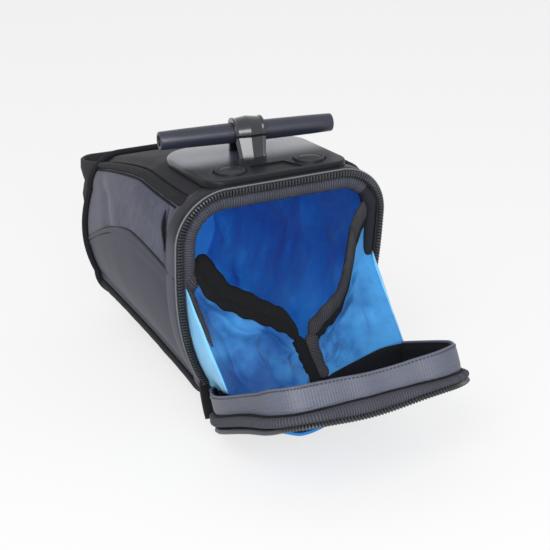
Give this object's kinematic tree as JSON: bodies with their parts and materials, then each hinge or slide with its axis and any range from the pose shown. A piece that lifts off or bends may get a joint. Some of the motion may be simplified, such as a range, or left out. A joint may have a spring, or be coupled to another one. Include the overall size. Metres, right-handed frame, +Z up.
{
  "type": "under-saddle bicycle bag",
  "caption": "Wedge-shaped fabric bag that hangs under a bicycle saddle by a T-bar clip, with a zip round its mouth and a lid that swings open on two folding gussets.",
  "frame": {"origin": "centre of the clip plate's top face, on the swivel axis under the T-bar", "axes": "+Z up towards the saddle, +Y from the mouth towards the nose and the seatpost strap, +X across the bag"},
  "size_m": [0.1006, 0.2631, 0.1303],
  "materials": {
    "plate": "satin moulded nylon",
    "rivet": "satin moulded nylon",
    "loop": "glossy moulded rubberised plastic",
    "bar": "satin moulded nylon",
    "black_cloth": "black coated cloth",
    "ripstop": "grey ripstop cloth",
    "coated_cloth": "smooth grey coated cloth",
    "piping": "black piping",
    "board": "stiff plastic board",
    "foam": "thin closed foam",
    "lining": "blue nylon lining",
    "gusset": "blue nylon cloth",
    "gusset_web": "light blue nylon cloth",
    "binding": "black binding tape",
    "zip_tape": "black zip tape",
    "zip_teeth": "satin nylon teeth",
    "ribbed_binding": "ribbed dark grey tape",
    "slider": "black lacquer",
    "puller": "black lacquer",
    "strap": "black woven strap",
    "webbing": "blue woven webbing"
  },
  "bodies": {
    "bag": {"mount_plate": "plate", "plate_rivets": "rivet", "top_panel": "black_cloth", "left_side_panel": "ripstop", "right_side_panel": "ripstop", "left_lower_panel": "coated_cloth", "right_lower_panel": "coated_cloth", "bottom_panel": "black_cloth", "nose_panel": "black_cloth", "left_piping": "piping", "right_piping": "piping", "nose_piping": "piping", "top_stiffener": "board", "wall_core": "foam", "body_lining": "lining", "mouth_zip_tape": "zip_tape", "mouth_zip_teeth": "zip_teeth", "mouth_binding": "ribbed_binding", "zip_slider": "slider", "left_gusset": "gusset", "right_gusset": "gusset", "left_gusset_web": "gusset_web", "right_gusset_web": "gusset_web", "left_gusset_binding": "binding", "right_gusset_binding": "binding", "hinge_strip": "black_cloth", "seatpost_strap": "strap", "strap_keeper": "strap"},
    "clip": {"swivel_disc": "plate", "strap_loop": "loop"},
    "bar": {"t_bar": "bar"},
    "puller": {"zip_puller": "puller"},
    "lid": {"lid_panel": "ripstop", "lid_stiffener": "board", "lid_lining": "lining", "lid_band": "coated_cloth", "lid_binding": "ribbed_binding", "lid_zip_tape": "zip_tape", "lid_zip_teeth": "zip_teeth", "light_loop": "webbing"}
  },
  "joints": [
    {"name": "lid_hinge", "type": "hinge", "parent": "bag", "child": "lid", "pos_m": [0, -0.0263, -0.104], "axis": [1, 0, 0], "range_deg": [-62, 0], "deforming": ["left_gusset", "right_gusset", "left_gusset_web", "right_gusset_web", "left_gusset_binding", "right_gusset_binding"]},
    {"name": "clip_swivel", "type": "hinge", "parent": "bag", "child": "clip", "pos_m": [0, 0, 0], "axis": [0, 0, 1], "range_deg": [-82, 98]},
    {"name": "t_bar_roll", "type": "hinge", "parent": "clip", "child": "bar", "pos_m": [0, 0, 0.01], "axis": [0.9903, -0.1392, 0], "continuous": true},
    {"name": "puller_swing", "type": "hinge", "parent": "bag", "child": "puller", "pos_m": [0.04244, -0.02558, -0.0983], "axis": [0, 1, 0], "range_deg": [-110, 0]}
  ]
}
